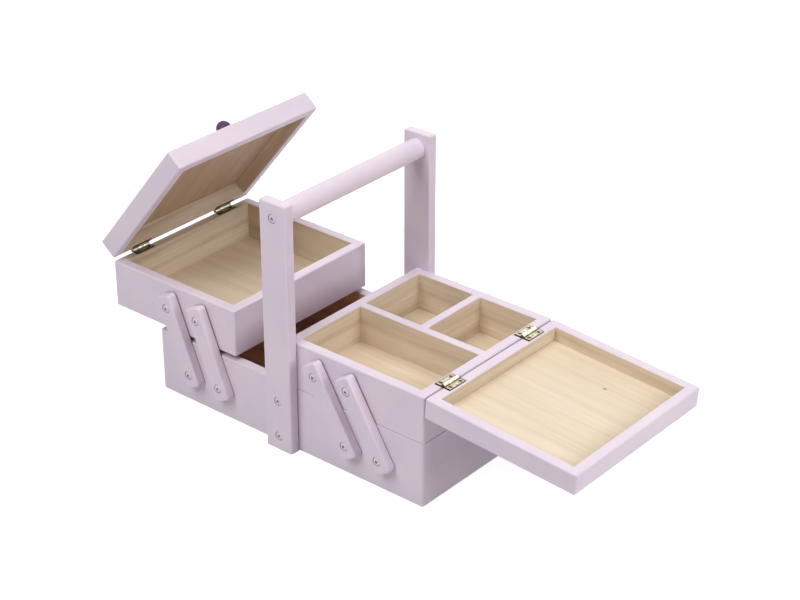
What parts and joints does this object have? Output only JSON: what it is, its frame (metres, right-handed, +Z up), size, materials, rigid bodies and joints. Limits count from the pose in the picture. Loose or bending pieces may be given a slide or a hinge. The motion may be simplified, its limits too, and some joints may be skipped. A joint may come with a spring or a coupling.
{
  "type": "sewing carrier with two lids",
  "caption": "Painted wooden cantilever sewing carrier: a base box, trays that swing out on flat arms, a hinged lid on each tray and a fixed dowel handle.",
  "frame": {"origin": "centre of the base's flat underside", "axes": "+Z up; +X along the length of the box, towards the tray that is closed; -Y is the front, where an upright and the arms face the viewer"},
  "size_m": [0.4167, 0.154, 0.1896],
  "materials": {
    "lilac_paint": "satin",
    "bare_wood": "matte",
    "painted_screw": "satin",
    "brass": "satin",
    "violet_paint": "gloss"
  },
  "bodies": {
    "base": {"base_front_board": "lilac_paint", "base_back_board": "lilac_paint", "base_left_end": "lilac_paint", "base_right_end": "lilac_paint", "base_floor": "bare_wood", "base_pivot_screws": "painted_screw", "front_handle_upright": "lilac_paint", "back_handle_upright": "lilac_paint", "handle_dowel": "lilac_paint", "handle_dowel_screws": "painted_screw", "handle_base_screws": "painted_screw"},
    "left_tray": {"left_tray_front_board": "lilac_paint", "left_tray_back_board": "lilac_paint", "left_tray_outer_end": "lilac_paint", "left_tray_inner_end": "lilac_paint", "left_tray_floor": "bare_wood", "left_tray_pivot_screws": "painted_screw", "left_tray_hinge_leaves": "brass", "left_tray_hinge_screws": "brass", "left_hinge_pins": "brass"},
    "left_lid": {"left_lid_front_rail": "lilac_paint", "left_lid_back_rail": "lilac_paint", "left_lid_hinge_rail": "lilac_paint", "left_lid_free_rail": "lilac_paint", "left_lid_panel": "bare_wood", "left_lid_hinge_leaves": "brass", "left_lid_hinge_screws": "brass", "left_knob": "violet_paint", "left_knob_screw": "brass"},
    "left_front_inner_arm": {"left_front_inner_arm": "lilac_paint"},
    "left_front_outer_arm": {"left_front_outer_arm": "lilac_paint"},
    "left_back_inner_arm": {"left_back_inner_arm": "lilac_paint"},
    "left_back_outer_arm": {"left_back_outer_arm": "lilac_paint"},
    "right_tray": {"right_tray_front_board": "lilac_paint", "right_tray_back_board": "lilac_paint", "right_tray_outer_end": "lilac_paint", "right_tray_inner_end": "lilac_paint", "right_tray_floor": "bare_wood", "right_tray_long_divider": "bare_wood", "right_tray_cross_divider": "bare_wood", "right_tray_pivot_screws": "painted_screw", "right_tray_hinge_leaves": "brass", "right_tray_hinge_screws": "brass", "right_hinge_pins": "brass"},
    "right_lid": {"right_lid_front_rail": "lilac_paint", "right_lid_back_rail": "lilac_paint", "right_lid_hinge_rail": "lilac_paint", "right_lid_free_rail": "lilac_paint", "right_lid_panel": "bare_wood", "right_lid_hinge_leaves": "brass", "right_lid_hinge_screws": "brass", "right_knob": "violet_paint", "right_knob_screw": "brass"},
    "right_front_inner_arm": {"right_front_inner_arm": "lilac_paint"},
    "right_front_outer_arm": {"right_front_outer_arm": "lilac_paint"},
    "right_back_inner_arm": {"right_back_inner_arm": "lilac_paint"},
    "right_back_outer_arm": {"right_back_outer_arm": "lilac_paint"}
  },
  "joints": [
    {"name": "left_tray_swing", "type": "hinge", "parent": "base", "child": "left_front_inner_arm", "pos_m": [-0.0581, -0.0727, 0.0252], "axis": [0, -1, 0], "range_deg": [-53.5, 9.44]},
    {"name": "left_front_outer_arm_swing", "type": "hinge", "parent": "base", "child": "left_front_outer_arm", "pos_m": [-0.0868, -0.0727, 0.0252], "axis": [0, -1, 0], "range_deg": [-53.5, 9.44]},
    {"name": "left_back_inner_arm_swing", "type": "hinge", "parent": "base", "child": "left_back_inner_arm", "pos_m": [-0.0581, 0.0727, 0.0252], "axis": [0, -1, 0], "range_deg": [-53.5, 9.44]},
    {"name": "left_back_outer_arm_swing", "type": "hinge", "parent": "base", "child": "left_back_outer_arm", "pos_m": [-0.0868, 0.0727, 0.0252], "axis": [0, -1, 0], "range_deg": [-53.5, 9.44]},
    {"name": "left_tray_level", "type": "hinge", "parent": "left_front_inner_arm", "child": "left_tray", "pos_m": [-0.07697, -0.0727, 0.07183], "axis": [0, -1, 0], "range_deg": [-9.44, 53.5]},
    {"name": "left_lid_hinge", "type": "hinge", "parent": "left_tray", "child": "left_lid", "pos_m": [-0.16573, 0, 0.08743], "axis": [0, -1, 0], "range_deg": [-51.35, 133.35]},
    {"name": "right_tray_swing", "type": "hinge", "parent": "base", "child": "right_front_inner_arm", "pos_m": [0.0581, -0.0727, 0.0252], "axis": [0, 1, 0], "range_deg": [0, 62.94]},
    {"name": "right_front_outer_arm_swing", "type": "hinge", "parent": "base", "child": "right_front_outer_arm", "pos_m": [0.0868, -0.0727, 0.0252], "axis": [0, 1, 0], "range_deg": [0, 62.94]},
    {"name": "right_back_inner_arm_swing", "type": "hinge", "parent": "base", "child": "right_back_inner_arm", "pos_m": [0.0581, 0.0727, 0.0252], "axis": [0, 1, 0], "range_deg": [0, 62.94]},
    {"name": "right_back_outer_arm_swing", "type": "hinge", "parent": "base", "child": "right_back_outer_arm", "pos_m": [0.0868, 0.0727, 0.0252], "axis": [0, 1, 0], "range_deg": [0, 62.94]},
    {"name": "right_tray_level", "type": "hinge", "parent": "right_front_inner_arm", "child": "right_tray", "pos_m": [0.03184, -0.0727, 0.0681], "axis": [0, 1, 0], "range_deg": [-62.94, 0]},
    {"name": "right_lid_hinge", "type": "hinge", "parent": "right_tray", "child": "right_lid", "pos_m": [0.1206, 0, 0.0837], "axis": [0, 1, 0], "range_deg": [-184.7, 0]}
  ],
  "couplings": [
    {"joint": "left_front_outer_arm_swing", "follows": "left_tray_swing", "ratio": 1},
    {"joint": "left_back_inner_arm_swing", "follows": "left_tray_swing", "ratio": 1},
    {"joint": "left_back_outer_arm_swing", "follows": "left_tray_swing", "ratio": 1},
    {"joint": "left_tray_level", "follows": "left_tray_swing", "ratio": -1},
    {"joint": "right_front_outer_arm_swing", "follows": "right_tray_swing", "ratio": 1},
    {"joint": "right_back_inner_arm_swing", "follows": "right_tray_swing", "ratio": 1},
    {"joint": "right_back_outer_arm_swing", "follows": "right_tray_swing", "ratio": 1},
    {"joint": "right_tray_level", "follows": "right_tray_swing", "ratio": -1}
  ]
}
